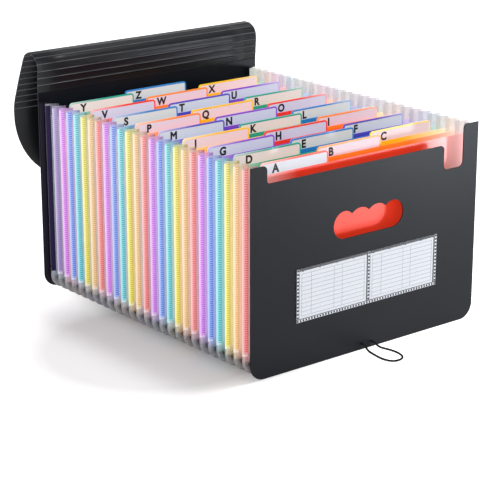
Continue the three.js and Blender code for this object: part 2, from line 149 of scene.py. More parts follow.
class Finish:
    """A Principled material and the few node steps that the surfaces here share."""

    def __init__(self, name, colour, roughness, **sockets):
        self.material = bpy.data.materials.new(name)
        self.material.use_nodes = True
        self.tree = self.material.node_tree
        self.shader = self.tree.nodes["Principled BSDF"]
        self.shader.inputs["Base Color"].default_value = colour
        self.shader.inputs["Roughness"].default_value = roughness
        for socket, value in sockets.items():
            self.shader.inputs[socket.replace("_", " ")].default_value = value

    def node(self, kind, **settings):
        made = self.tree.nodes.new(kind)
        for key, value in settings.items():
            if hasattr(made, key):
                setattr(made, key, value)
            else:
                made.inputs[key.replace("_", " ")].default_value = value
        return made

    def link(self, source, target):
        self.tree.links.new(source, target)

    def parts(self, vector):
        """The X, Y and Z outputs of a vector."""
        split = self.node("ShaderNodeSeparateXYZ")
        self.link(vector, split.inputs["Vector"])
        return split.outputs["X"], split.outputs["Y"], split.outputs["Z"]

    def place(self):
        """The point's own place on its object, in metres."""
        return self.node("ShaderNodeTexCoord").outputs["Object"]

    def layer(self, name):
        """The two numbers that a mesh carries in its named UV layer."""
        return self.parts(self.node("ShaderNodeUVMap", uv_map=name).outputs["UV"])[:2]

    def spread(self, value, start, end, low=0.0, high=1.0):
        """A value that runs from low to high while another runs from start to end."""
        made = self.node("ShaderNodeMapRange")
        for socket, number in (
            ("From Min", start), ("From Max", end), ("To Min", low), ("To Max", high),
        ):
            made.inputs[socket].default_value = number
        self.link(value, made.inputs["Value"])
        return made.outputs["Result"]

    def noise(self, scale, detail=3.0, stretch=(1, 1, 1)):
        mapping = self.node("ShaderNodeMapping")
        mapping.inputs["Scale"].default_value = stretch
        texture = self.node("ShaderNodeTexNoise", Scale=scale, Detail=detail)
        self.link(self.place(), mapping.inputs["Vector"])
        self.link(mapping.outputs["Vector"], texture.inputs["Vector"])
        return texture.outputs["Fac"]

    def bump(self, height, strength, distance):
        bump = self.node("ShaderNodeBump", Strength=strength, Distance=distance)
        self.link(height, bump.inputs["Height"])
        self.link(bump.outputs["Normal"], self.shader.inputs["Normal"])

    def ramp(self, factor, stops):
        ramp = self.node("ShaderNodeValToRGB")
        elements = ramp.color_ramp.elements
        for element, (position, colour) in zip(elements, stops[:2]):
            element.position = position
            element.color = colour
        for position, colour in stops[2:]:
            elements.new(position).color = colour
        self.link(factor, ramp.inputs["Fac"])
        return ramp.outputs["Color"]

    def math(self, operation, first, second=0.0):
        made = self.node("ShaderNodeMath", operation=operation)
        for socket, value in zip(made.inputs, (first, second)):
            self.feed(socket, value)
        return made.outputs["Value"]

    def mix(self, factor, first, second, blend="MIX"):
        made = self.node("ShaderNodeMix", data_type="RGBA", blend_type=blend)
        self.feed(made.inputs["Factor"], factor)
        for socket, value in zip([s for s in made.inputs if s.type == "RGBA"], (first, second)):
            self.feed(socket, value)
        return next(s for s in made.outputs if s.type == "RGBA")

    def feed(self, socket, value):
        """Links the socket if the value is another node's output, and sets it otherwise."""
        if isinstance(value, bpy.types.NodeSocket):
            self.link(value, socket)
        else:
            socket.default_value = value

    def colour_from(self, output):
        self.link(output, self.shader.inputs["Base Color"])

    def roughness_from(self, factor, low, high):
        self.link(self.spread(factor, 0.0, 1.0, low, high), self.shader.inputs["Roughness"])


WHITE = (1.0, 1.0, 1.0, 1.0)
PALEST = 0.95


def scaled(colour, factor):
    return tuple(min(1.0, c * factor) for c in colour[:3]) + (1.0,)


def paler(colour, share):
    return tuple(c + (PALEST - c) * share for c in colour[:3]) + (1.0,)


def grey(value):
    return (value, value, value, 1.0)


# Plastics, card, film, metal and elastic

CLOUD_SCALE = 9.0
PEBBLE_SCALE = 1400.0
RIB_HIGHLIGHT_SCALE = 40.0
LEAST_RIB_HIGHLIGHT = 0.35


def sheet_plastic(name, colour, roughness, shine, rib_highlight_colour=None):
    """Extruded sheet: a fine pebbled skin, faint clouds in its gloss, and painted rib-top
    highlights.
    """
    finish = Finish(name, colour, roughness, Specular_IOR_Level=shine)
    clouds = finish.noise(CLOUD_SCALE, detail=2.0)
    body = finish.ramp(clouds, [(0.35, scaled(colour, 0.9)), (0.65, scaled(colour, 1.1))])
    # Painted highlight: the rib tops turn paler in patches, for the light that catches them.
    if rib_highlight_colour:
        highlight_mask, _ = finish.layer("wear")
        highlight_patches = finish.ramp(finish.noise(RIB_HIGHLIGHT_SCALE), [(0.3, grey(LEAST_RIB_HIGHLIGHT)), (0.7, WHITE)])
        body = finish.mix(finish.math("MULTIPLY", highlight_mask, highlight_patches), body, rib_highlight_colour)
    finish.colour_from(body)
    finish.roughness_from(clouds, low=roughness - 0.04, high=roughness + 0.05)
    finish.bump(finish.noise(PEBBLE_SCALE, detail=2.0), strength=0.12, distance=0.0002)
    return finish.material


cover_plastic = sheet_plastic("cover_plastic", srgb(14, 16, 22), roughness=0.38, shine=0.12)
button_plastic = sheet_plastic("button_plastic", srgb(20, 21, 24), roughness=0.28, shine=0.18)
flap_plastic = sheet_plastic(
    "flap_plastic", srgb(15, 16, 19), roughness=0.36, shine=0.18, rib_highlight_colour=srgb(104, 106, 112),
)

DIVIDER_PALE_START = 0.09
DIVIDER_PALE_END = 0.155
DIVIDER_PALE_SHARE = 0.85
DIVIDER_SIDE_PALENESS = 0.75
DIVIDER_GLOW_MIDDLE = 0.28
DIVIDER_GLOW_SIDE = 0.36


def divider_plastic(name, colour):
    """Thin translucent sheet, painted paler toward its side edges, where light comes through the
    film.
    """
    finish = Finish(name, colour, roughness=0.3, Alpha=0.9, Specular_IOR_Level=0.5)
    to_side = finish.math("ABSOLUTE", finish.parts(finish.place())[0])
    paling = finish.spread(
        to_side, DIVIDER_PALE_START, DIVIDER_PALE_END, 0.0, DIVIDER_PALE_SHARE,
    )
    streaks = finish.noise(scale=60.0, stretch=(1.0, 1.0, 0.15))
    body = finish.ramp(streaks, [(0.3, scaled(colour, 0.94)), (0.7, scaled(colour, 1.06))])
    shown = finish.mix(paling, body, paler(colour, DIVIDER_SIDE_PALENESS))
    finish.colour_from(shown)
    # Painted light: the sheet glows in its own colour, more strongly toward its side edges.
    finish.link(shown, finish.shader.inputs["Emission Color"])
    glow = finish.spread(
        to_side, DIVIDER_PALE_START, DIVIDER_PALE_END, DIVIDER_GLOW_MIDDLE, DIVIDER_GLOW_SIDE,
    )
    finish.link(glow, finish.shader.inputs["Emission Strength"])
    finish.bump(finish.noise(scale=1100.0, detail=2.0), strength=0.08, distance=0.0002)
    return finish.material


DIVIDER_COLOURS = [
    ("red", srgb(250, 66, 40)),
    ("orange", srgb(252, 150, 50)),
    ("yellow", srgb(240, 205, 40)),
    ("teal", srgb(28, 168, 150)),
    ("blue", srgb(46, 134, 208)),
    ("indigo", srgb(92, 80, 190)),
    ("violet", srgb(150, 84, 204)),
]
divider_finishes = [
    divider_plastic("divider_" + name, colour) for name, colour in DIVIDER_COLOURS
]


def card_material(name, colour, glow):
    """Card with a faint fibre; the glow stands for the light that thin card lets through."""
    finish = Finish(name, colour, roughness=0.75, Specular_IOR_Level=0.25)
    finish.shader.inputs["Emission Color"].default_value = colour
    finish.shader.inputs["Emission Strength"].default_value = glow
    fibre = finish.noise(scale=700.0, detail=4.0)
    body = finish.ramp(fibre, [(0.3, scaled(colour, 0.97)), (0.7, scaled(colour, 1.02))])
    finish.colour_from(body)
    finish.bump(fibre, strength=0.08, distance=0.0001)
    return finish.material


card_white = card_material("card_white", srgb(230, 231, 235), glow=0.0)
tab_insert = card_material("tab_insert", srgb(214, 213, 220), glow=0.34)


def ink(name, colour):
    """Matt print."""
    finish = Finish(name, colour, roughness=0.6)
    finish.bump(finish.noise(scale=900.0, detail=2.0), strength=0.05, distance=0.0001)
    return finish.material


letter_ink = ink("letter_ink", srgb(10, 10, 13))
rule_ink = ink("rule_ink", srgb(128, 130, 140))


def clear_film(name, colour, alpha, roughness, shine=0.5):
    """Soft film with long shallow ripples."""
    finish = Finish(name, colour, roughness, Alpha=alpha, Specular_IOR_Level=shine)
    ripple = finish.noise(scale=45.0, detail=2.0, stretch=(1.0, 1.0, 0.3))
    finish.bump(ripple, strength=0.15, distance=0.0006)
    return finish.material


pocket_film = clear_film("pocket_film", srgb(235, 238, 244), alpha=0.08, roughness=0.12)
weld_frost = clear_film("weld_frost", srgb(232, 234, 240), alpha=0.95, roughness=0.4)

FILM_ALPHA_LEFT = 0.46
FILM_ALPHA_RIGHT = 0.63
FILM_ALPHA_CORNER = 0.72
FILM_ALPHA_REACH = 0.1
STRIP_LIGHT_SHARE = 0.5
RIGHT_LIGHT_START = 0.05
RIGHT_LIGHT_END = 0.14
RIGHT_LIGHT_SHARE = 0.85
CORNER_CHANGE = 3.0


def pleat_film_material():
    """Frosted film: painted strip light, paler right side, painted shade in folds and bottom
    corners.
    """
    finish = Finish(
        "pleat_film", srgb(196, 200, 210), roughness=0.28, Specular_IOR_Level=0.5,
    )
    to_right = finish.parts(finish.place())[0]
    depth, height = finish.layer("fold")
    # Painted light: the film turns more opaque toward the right, where it is painted whiter
    # below.
    right_light_alpha = finish.spread(
        to_right, -FILM_ALPHA_REACH, FILM_ALPHA_REACH, FILM_ALPHA_LEFT, FILM_ALPHA_RIGHT,
    )
    low = finish.math("MULTIPLY", finish.math("SUBTRACT", 1.0, height), CORNER_CHANGE)
    low = finish.math("MINIMUM", low, 1.0)
    alpha = finish.math("MAXIMUM", right_light_alpha, finish.math("MULTIPLY", low, FILM_ALPHA_CORNER))
    finish.link(alpha, finish.shader.inputs["Alpha"])
    # Painted shade: the film darkens toward the deep end of each fold.
    side_fold_shade = finish.ramp(depth, [
        (0.0, srgb(226, 227, 233)), (0.5, srgb(196, 198, 207)), (1.0, srgb(120, 122, 132)),
    ])
    # Painted coloured light: each pleat's film takes half the colour of the strip beside it.
    strip_light = finish.node("ShaderNodeAttribute", attribute_name="strip_light").outputs["Color"]
    tinted = finish.mix(STRIP_LIGHT_SHARE, side_fold_shade, strip_light)
    # Painted light: the right side of the film is whitened as if lit through from that side.
    right_light = finish.spread(to_right, RIGHT_LIGHT_START, RIGHT_LIGHT_END, 0.0, RIGHT_LIGHT_SHARE)
    tinted = finish.mix(right_light, tinted, srgb(250, 250, 253))
    # Painted shade for the bottom corners: grey, near black deep in the folds, mottled.
    corner_fold_shade = finish.ramp(depth, [
        (0.0, srgb(182, 182, 185)), (0.3, srgb(142, 142, 146)),
        (0.42, srgb(58, 58, 62)), (0.55, srgb(22, 22, 26)),
    ])
    mottle = finish.ramp(finish.noise(scale=420.0), [
        (0.3, srgb(196, 196, 198)), (0.7, srgb(255, 255, 255)),
    ])
    mottled = finish.mix(1.0, corner_fold_shade, mottle, "MULTIPLY")
    finish.colour_from(finish.mix(low, tinted, mottled))
    grain = finish.noise(scale=160.0, detail=2.0, stretch=(1.0, 1.0, 0.12))
    finish.bump(grain, strength=0.1, distance=0.0004)
    return finish.material


pleat_film = pleat_film_material()
# Painted shade: near-black film for the last pleat on the left, in the back cover's shadow.
back_shade_film = clear_film("back_shade_film", srgb(20, 16, 29), alpha=1.0, roughness=0.6, shine=0.1)

TICK_SPACING = 0.0025
TICK_SHARE = 0.45
TICK_BAND = (0.42, 0.92)
TICK_STRENGTH = 0.9
STRIP_BOTTOM = 0.025
STRIP_TOP = 0.2290
FADE_START = 0.001
FADE_HEIGHT = 0.005
FADE_SHARE = 0.6
TOP_PALING = 0.35
STRIP_PALENESS = 0.6
MIDDLE_PALENESS = 0.12
STRIP_SHINE_DARK = 0.1
STRIP_SHINE_GAIN = 0.35
FOOT_COLOUR = (0.93, 0.93, 0.95, 1.0)


def strip_material(name, colour, tick, pale_share):
    """A welded strip: paler toward its top, a foot that fades to white, and a line of ticks."""
    shine = STRIP_SHINE_DARK + STRIP_SHINE_GAIN * pale_share
    finish = Finish(name, colour, roughness=0.35, Specular_IOR_Level=shine)
    across, along = finish.layer("strip")
    step = finish.math("FRACT", finish.math("DIVIDE", along, TICK_SPACING))
    in_tick = finish.math("LESS_THAN", step, TICK_SHARE)
    inside = finish.math("GREATER_THAN", across, TICK_BAND[0])
    outside = finish.math("LESS_THAN", across, TICK_BAND[1])
    ticks = finish.math("MULTIPLY", in_tick, finish.math("MULTIPLY", inside, outside))
    pale = paler(colour, STRIP_PALENESS * pale_share)
    # Painted light across the strip: a highlight along the fold's edge, shade toward the valley.
    body = finish.ramp(across, [
        (0.0, pale), (0.3, paler(colour, MIDDLE_PALENESS * pale_share)),
        (0.9, scaled(colour, 0.9)), (1.0, scaled(colour, 0.7)),
    ])
    height = finish.spread(along, STRIP_BOTTOM, STRIP_TOP)
    upward = finish.ramp(height, [(0.0, grey(0.0)), (1.0, grey(TOP_PALING))])
    softened = finish.mix(upward, body, pale)
    marked = finish.mix(finish.math("MULTIPLY", ticks, TICK_STRENGTH), softened, tick)
    foot = finish.spread(
        along, STRIP_BOTTOM + FADE_START, STRIP_BOTTOM + FADE_HEIGHT,
        FADE_SHARE * pale_share, 0.0,
    )
    finish.colour_from(finish.mix(foot, marked, FOOT_COLOUR))
    finish.bump(ticks, strength=0.5, distance=0.0004)
    return finish.material


STRIP_COLOURS = [
    ("pink", srgb(255, 158, 156), srgb(228, 84, 88)),
    ("peach", srgb(255, 220, 160), srgb(222, 160, 96)),
    ("yellow", srgb(252, 244, 108), srgb(196, 180, 52)),
    ("cyan", srgb(126, 230, 238), srgb(48, 156, 172)),
    ("blue", srgb(148, 182, 255), srgb(66, 98, 214)),
    ("violet", srgb(238, 160, 255), srgb(172, 84, 212)),
    ("lilac", srgb(166, 138, 204), srgb(146, 116, 188)),
    # Painted shade: the two darkest strips stand in the back cover's shadow.
    ("plum", srgb(40, 29, 66), srgb(35, 25, 58)),
    ("dark", srgb(24, 18, 36), srgb(21, 16, 32)),
]
REPEATED_COLOURS = 6
SHADED_STRIPS = ("plum", "dark")
strip_finishes = [
    strip_material("strip_" + name, colour, tick, 0.0 if name in SHADED_STRIPS else 1.0)
    for name, colour, tick in STRIP_COLOURS
]

metal = Finish("metal", srgb(176, 178, 182), roughness=0.32, Metallic=1.0)
brushing = metal.noise(scale=500.0, detail=2.0, stretch=(1.0, 1.0, 8.0))
metal.bump(brushing, strength=0.1, distance=0.0002)

BRAID_TURN_Y = 0.6
BRAID_TURN_Z = 0.8


def elastic_material():
    """Braided cover: two crossing waves round the cord."""
    finish = Finish(
        "elastic_braid", srgb(8, 8, 10), roughness=0.8, Specular_IOR_Level=0.15,
    )
    heights = []
    for slant in (1.0, -1.0):
        mapping = finish.node("ShaderNodeMapping")
        turn = (0.0, BRAID_TURN_Y * slant, BRAID_TURN_Z * slant)
        mapping.inputs["Rotation"].default_value = turn
        wave = finish.node("ShaderNodeTexWave", Scale=260.0, Distortion=0.5)
        finish.link(finish.place(), mapping.inputs["Vector"])
        finish.link(mapping.outputs["Vector"], wave.inputs["Vector"])
        heights.append(wave.outputs["Fac"])
    crossed = finish.math("MAXIMUM", *heights)
    finish.colour_from(finish.ramp(crossed, [(0.2, srgb(4, 4, 5)), (0.9, srgb(20, 21, 24))]))
    finish.bump(crossed, strength=0.6, distance=0.0003)
    return finish.material


# Elastic loop

CORD_DIAMETER = 0.0024
CORD_HOLE_HEIGHT = 0.0062
CORD_LOW = CORD_DIAMETER / 2 + 0.00015
CORD_ROUTE = [
    (-0.0060, FRONT_INSIDE - 0.0003, CORD_HOLE_HEIGHT),
    (-0.0060, FRONT_FACE - 0.0012, CORD_HOLE_HEIGHT),
    (-0.0061, FRONT_FACE - 0.0030, 0.00585),
    (-0.0063, FRONT_FACE - 0.0050, 0.00495),
    (-0.0066, FRONT_FACE - 0.0070, 0.0036),
    (-0.0070, FRONT_FACE - 0.0092, 0.00235),
    (-0.0075, FRONT_FACE - 0.0118, 0.0016),
    (-0.0082, FRONT_FACE - 0.0150, CORD_LOW),
    (-0.0102, FRONT_FACE - 0.0260, CORD_LOW),
    (-0.0114, FRONT_FACE - 0.0360, CORD_LOW),
    (-0.0104, FRONT_FACE - 0.0446, CORD_LOW),
    (-0.0066, FRONT_FACE - 0.0504, CORD_LOW),
    (0.0000, FRONT_FACE - 0.0520, CORD_LOW),
    (0.0070, FRONT_FACE - 0.0500, CORD_LOW),
    (0.0120, FRONT_FACE - 0.0440, CORD_LOW),
    (0.0144, FRONT_FACE - 0.0340, CORD_LOW),
    (0.0138, FRONT_FACE - 0.0240, CORD_LOW),
    (0.0118, FRONT_FACE - 0.0150, CORD_LOW),
    (0.0107, FRONT_FACE - 0.0118, 0.0016),
    (0.0099, FRONT_FACE - 0.0092, 0.00235),
    (0.0092, FRONT_FACE - 0.0070, 0.0036),
    (0.0086, FRONT_FACE - 0.0050, 0.00495),
    (0.0082, FRONT_FACE - 0.0030, 0.00585),
    (0.0080, FRONT_FACE - 0.0012, CORD_HOLE_HEIGHT),
    (0.0080, FRONT_INSIDE - 0.0003, CORD_HOLE_HEIGHT),
]
CORD_STEPS = 5


def smooth_route(points, steps):
    """Points of a Catmull-Rom curve through the given ones."""
    points = [Vector(p) for p in points]
    ends = [2 * points[0] - points[1], *points, 2 * points[-1] - points[-2]]
    route = []
    for i in range(1, len(ends) - 2):
        a, b, c, d = ends[i - 1: i + 3]
        for step in range(steps):
            t = step / steps
            route.append(0.5 * (
                2 * b + (c - a) * t + (2 * a - 5 * b + 4 * c - d) * t ** 2
                + (3 * b - a - 3 * c + d) * t ** 3
            ))
    route.append(points[-1])
    return route


def make_elastic():
    route = smooth_route(CORD_ROUTE, CORD_STEPS)
    curve = bpy.data.curves.new("elastic_cord", "CURVE")
    curve.dimensions = "3D"
    curve.bevel_depth = CORD_DIAMETER / 2
    curve.bevel_resolution = 4
    curve.use_fill_caps = True
    spline = curve.splines.new("POLY")
    spline.points.add(len(route) - 1)
    for point, place in zip(spline.points, route):
        point.co = (*place, 1.0)
    curve.materials.append(elastic_material())
    cord = bpy.data.objects.new("elastic_cord", curve)
    bpy.context.scene.collection.objects.link(cord)
    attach(cord, "front")
    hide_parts("elastic_loop")


make_elastic()

# Pleated film body

FILM_INSET = 0.0005
FILM_LIFT = 0.002
FILM_TOP = 0.2315
PLEAT_DEPTH = 0.0142
FILM_THICKNESS = 0.0005
CORNER_RADIUS = 0.018
SEAT_GAP = 0.0003
CORNER_STEPS = 10
PLEAT_STEPS = 8
SIDE_HEIGHTS = [FILM_TOP, 0.19, 0.15, 0.11, 0.07, 0.04, 0.03]
SHARP_ABOVE = 0.035
LOW_ROUNDNESS = 0.3
BOTTOM_SHARES = (-0.6, -0.2, 0.2, 0.6)


FILM_START = FRONT_INSIDE + SEAT_GAP
FILM_END = BACK_INSIDE - SEAT_GAP


def squash_to_back(piece):
    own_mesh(piece)


def u_stations():
    """Places round the U, as functions of how far inward the film lies, and their roundness."""
    half = HALF_WIDTH - FILM_INSET - CORNER_RADIUS
    angles = [math.pi / 2 * i / CORNER_STEPS for i in range(CORNER_STEPS + 1)]

    def on_side(sign, z):
        return lambda d: (sign * (HALF_WIDTH - FILM_INSET - d), z)

    def on_corner(sign, angle):
        def place(d):
            radius = CORNER_RADIUS - d
            x = sign * half + sign * radius * math.cos(angle)
            return (x, FILM_LIFT + CORNER_RADIUS - radius * math.sin(angle))
        return place

    def on_bottom(share):
        return lambda d: (half * share, FILM_LIFT + d)

    def side(sign):
        return [
            (on_side(sign, z), 0.0 if z > SHARP_ABOVE else LOW_ROUNDNESS) for z in SIDE_HEIGHTS
        ]

    def corner(sign):
        return [(on_corner(sign, angle), 1.0) for angle in angles]

    bottom = [(on_bottom(share), 1.0) for share in BOTTOM_SHARES]
    return side(-1) + corner(-1) + bottom + corner(1)[::-1] + side(1)[::-1]


def pleat_rows():
    """Every row of the film: its Y, its depth if folded sharply or roundly, and its pleat."""
    peaks = [FILM_START, *DIVIDER_Y, FILM_END]
    rows = []
    for pleat, (a, b) in enumerate(zip(peaks, peaks[1:])):
        for step in range(PLEAT_STEPS):
            t = step / PLEAT_STEPS
            sharp = 1 - abs(2 * t - 1)
            rounded = (1 - math.cos(2 * math.pi * t)) / 2
            rows.append((a + (b - a) * t, sharp, rounded, pleat))
    rows.append((FILM_END, 0.0, 0.0, len(DIVIDER_Y)))
    return rows


def strip_colour(index, side):
    """Colours repeat from the front; on the left the last strips darken into painted shade at the
    back.
    """
    last = len(DIVIDER_Y) - 1
    if side < 0 and index >= last - 1:
        return index - last + REPEATED_COLOURS + 1
    return index % REPEATED_COLOURS


def make_film():
    """The film as two layers that share their rims: the pleated U, and the same U further in."""
    stations = u_stations()
    rows = pleat_rows()
    vertices, faces, places, strip_lights = [], [], [], []
    for inward in (0.0, FILM_THICKNESS):
        for y, sharp, rounded, pleat in rows:
            for place, roundness in stations:
                share = sharp + (rounded - sharp) * roundness
                x, z = place(PLEAT_DEPTH * share + inward)
                vertices.append((x, y, z))
                places.append((share, min(1.0, z / STRIP_BOTTOM)))
                strip_lights.append(STRIP_COLOURS[strip_colour(pleat, x)][1])
    across = len(stations)
    inner = len(rows) * across
    for row in range(len(rows) - 1):
        for i in range(across - 1):
            a = row * across + i
            faces.append((a, a + across, a + across + 1, a + 1))
            faces.append((inner + a, inner + a + 1, inner + a + across + 1, inner + a + across))
        first, last = row * across, row * across + across - 1
        faces.append((first + across, first, inner + first, inner + first + across))
        faces.append((last, last + across, inner + last + across, inner + last))
    for i in range(across - 1):
        front, back = i, (len(rows) - 1) * across + i
        faces.append((front, front + 1, inner + front + 1, inner + front))
        faces.append((back + 1, back, inner + back, inner + back + 1))
    film = new_piece("pleated_film", vertices, faces, pleat_film, "rear")
    carry(film, "fold", places)
    # Each pleat's strip colour, for the film's painted coloured light.
    strip_light = film.data.color_attributes.new("strip_light", "FLOAT_COLOR", "POINT")
    for point, colour in zip(strip_light.data, strip_lights):
        point.color = colour
    film.data.materials.append(back_shade_film)
    # The last pleat on the left takes the near-black film: painted shade of the back cover.
    for polygon in film.data.polygons:
        in_last_pleat = polygon.center.y > DIVIDER_Y[-1]
        polygon.material_index = int(in_last_pleat and polygon.center.x < 0)
    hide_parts("bellows")
    squash_to_back(film)


make_film()

# Colour strips welded along the front face of every pleat

STRIP_WIDTH = 0.0062
STRIP_START = 0.0003
STRIP_RAISE = 0.0004
STRIP_BACK = 0.00005
STRIP_RUN = 6
STRIP_EDGE_RISE = 0.45


def make_strip(side, index, fold_y):
    length = math.hypot(PLEAT_DEPTH, PITCH / 2)
    along = Vector((-PLEAT_DEPTH / length, -PITCH / 2 / length))
    outward = Vector((PITCH / 2 / length, -PLEAT_DEPTH / length))
    fold = Vector((HALF_WIDTH - FILM_INSET, 0.0))
    step = (STRIP_WIDTH - STRIP_START) / STRIP_RUN
    ring = []
    for i in range(STRIP_RUN + 1):
        rise = STRIP_EDGE_RISE if i in (0, STRIP_RUN) else 1.0
        ring.append((STRIP_START + step * i, STRIP_RAISE * rise))
    ring += [(STRIP_WIDTH, STRIP_BACK), (STRIP_START, STRIP_BACK)]
    vertices, places = [], []
    for z in (STRIP_BOTTOM, STRIP_TOP):
        for run, raised in ring:
            spot = fold + along * run + outward * raised
            vertices.append((side * spot.x, fold_y + spot.y, z))
            places.append((run / STRIP_WIDTH, z))
    faces = prism_faces(len(ring), flipped=side > 0)
    name = f"strip_{'left' if side < 0 else 'right'}_{index + 1}"
    finish = strip_finishes[strip_colour(index, side)]
    strip = new_piece(name, vertices, faces, finish, "rear")
    carry(strip, "strip", places)
    squash_to_back(strip)


for strip_index, strip_fold in enumerate([*DIVIDER_Y, FILM_END]):
    for strip_side in (-1, 1):
        make_strip(strip_side, strip_index, strip_fold)

# Dividers: the sheets keep their shape, and each tab gets its pale insert and its letter

TAB_BORDER = 0.0019
TAB_TOP = 0.231
TAB_INSERT_BOTTOM = 0.2178
TAB_MARGIN_LEFT = 0.0225
TAB_MARGIN_RIGHT = 0.0305
TAB_OVERLAP = 0.002
TAB_THICKNESS = 0.0016
TAB_RADIUS = 0.0021
INSERT_SUNK = 0.00006
LETTER_SIZE = 0.0124
LETTER_BOLDNESS = 0.0006
LETTER_INDENT = 0.0155
LETTER_BASE = 0.2192
LETTER_FLATNESS = 0.1
INK_RAISE = 0.00004
TABS_ACROSS = 3


def tab_span(index):
    """The left end and the width of a divider's tab."""
    low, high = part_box(f"divider_{LETTERS[index].lower()}")
    free_width = high.x - low.x - TAB_MARGIN_LEFT - TAB_MARGIN_RIGHT
    tab_width = (free_width + (TABS_ACROSS - 1) * TAB_OVERLAP) / TABS_ACROSS
    left = low.x + TAB_MARGIN_LEFT + (index % TABS_ACROSS) * (tab_width - TAB_OVERLAP)
    return left, tab_width


def rounded_outline(left, bottom, right, top, radius, steps=5):
    """Corners of an upright panel, round at its two top corners, as X and Z."""
    outline = [(left, bottom), (right, bottom)]
    centre_z = top - radius
    for centre_x, start in ((right - radius, 0.0), (left + radius, math.pi / 2)):
        for i in range(steps + 1):
            angle = start + math.pi / 2 * i / steps
            x = centre_x + radius * math.cos(angle)
            outline.append((x, centre_z + radius * math.sin(angle)))
    return outline


def make_tab_insert(index):
    left, tab_width = tab_span(index)
    outline = rounded_outline(
        left + TAB_BORDER, TAB_INSERT_BOTTOM,
        left + tab_width - TAB_BORDER, TAB_TOP - TAB_BORDER, TAB_RADIUS,
    )
    half = TAB_THICKNESS / 2 - INSERT_SUNK
    vertices = []
    for y in (DIVIDER_Y[index] - half, DIVIDER_Y[index] + half):
        vertices += [(x, y, z) for x, z in outline]
    faces = prism_faces(len(outline), flipped=True)
    letter = LETTERS[index].lower()
    new_piece(f"tab_insert_{letter}", vertices, faces, tab_insert, f"sheet_{letter}")


def make_letter(index):
    letter = LETTERS[index]
    left, _ = tab_span(index)
    text = bpy.data.curves.new("letter_shape_" + letter, "FONT")
    text.body = letter
    text.size = LETTER_SIZE
    text.bevel_depth = LETTER_BOLDNESS
    text.bevel_resolution = 0
    text.resolution_u = 4
    shape = bpy.data.objects.new("letter_shape_" + letter, text)
    mesh = bpy.data.meshes.new_from_object(shape)
    y = DIVIDER_Y[index] - TAB_THICKNESS / 2 + INSERT_SUNK - INK_RAISE
    spot = Matrix.Translation((left + LETTER_INDENT, y, LETTER_BASE))
    upright = Matrix.Rotation(math.pi / 2, 4, "X")
    flat = Matrix.Diagonal((1.0, 1.0, LETTER_FLATNESS, 1.0))
    mesh.transform(spot @ upright @ flat)
    bpy.data.objects.remove(shape)
    mesh.materials.clear()
    mesh.materials.append(letter_ink)
    piece = bpy.data.objects.new("tab_letter_" + letter.lower(), mesh)
    bpy.context.scene.collection.objects.link(piece)
    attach(piece, f"sheet_{letter.lower()}")


for tab_index in range(len(LETTERS)):
    make_tab_insert(tab_index)
    make_letter(tab_index)

# Label pocket: ruled cards behind clear film, and clear windows, seen dark, along frosted welds

CARD_ROWS = 10
CARD_COLUMNS = (0.15, 0.51, 0.64)
RULE_WIDTH = 0.0004
CARD_EDGE = 0.003
WELD_WIDTH = 0.0034
WELD_STEP = 0.0040
WELD_WINDOW = 0.0022
WELD_MARGIN = 0.0003
FROST_RAISE = 0.00005
WINDOW_RAISE = 0.00004


def make_card_rules(name):
    low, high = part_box(name)
    vertices, faces = [], []
    y_low = low.y - INK_RAISE
    half = RULE_WIDTH / 2
    left, right = low.x + CARD_EDGE, high.x - CARD_EDGE
    bottom, top = low.z + CARD_EDGE, high.z - CARD_EDGE
    for row in range(CARD_ROWS + 1):
        z = bottom + (top - bottom) * row / CARD_ROWS
        box_parts(vertices, faces, (left, y_low, z - half), (right, low.y, z + half))
    for share in (0.0, *CARD_COLUMNS, 1.0):
        x = left + (right - left) * share
        box_parts(vertices, faces, (x - half, y_low, bottom), (x + half, low.y, top))
    rules_name = name.replace("label_card", "card_rules")
    new_piece(rules_name, vertices, faces, rule_ink, "front")


def weld_runs():
    """The welds as (horizontal, fixed place, start, end)."""
    low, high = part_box("label_pocket")
    inset = WELD_WIDTH / 2
    yield True, low.z + inset, low.x + inset, high.x - inset
    for x in (low.x + inset, 0.0, high.x - inset):
        yield False, x, low.z + inset + WELD_STEP, high.z - inset


def make_welds():
    low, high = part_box("label_pocket")
    y_frost = low.y - FROST_RAISE
    y_window = y_frost - WINDOW_RAISE
    frost_vertices, frost_faces = [], []
    dark_vertices, dark_faces = [], []
    half = WELD_WIDTH / 2 - WELD_MARGIN
    window = WELD_WINDOW / 2
    for horizontal, fixed, start, end in weld_runs():
        if horizontal:
            corners = ((start - half, y_frost, fixed - half), (end + half, low.y, fixed + half))
        else:
            corners = ((fixed - half, y_frost, start - half), (fixed + half, low.y, end + half))
        box_parts(frost_vertices, frost_faces, *corners)
        count = round((end - start) / WELD_STEP)
        for i in range(count + 1):
            place = start + (end - start) * i / count
            x, z = (place, fixed) if horizontal else (fixed, place)
            box_parts(
                dark_vertices, dark_faces,
                (x - window, y_window, z - window), (x + window, y_frost, z + window),
            )
    new_piece("pocket_welds", frost_vertices, frost_faces, weld_frost, "front")
    new_piece("weld_windows", dark_vertices, dark_faces, cover_plastic, "front")


make_card_rules("label_card_left")
make_card_rules("label_card_right")
make_welds()

# Flap: the solid's curl, with rounded ribs on both faces and painted highlights along their tops

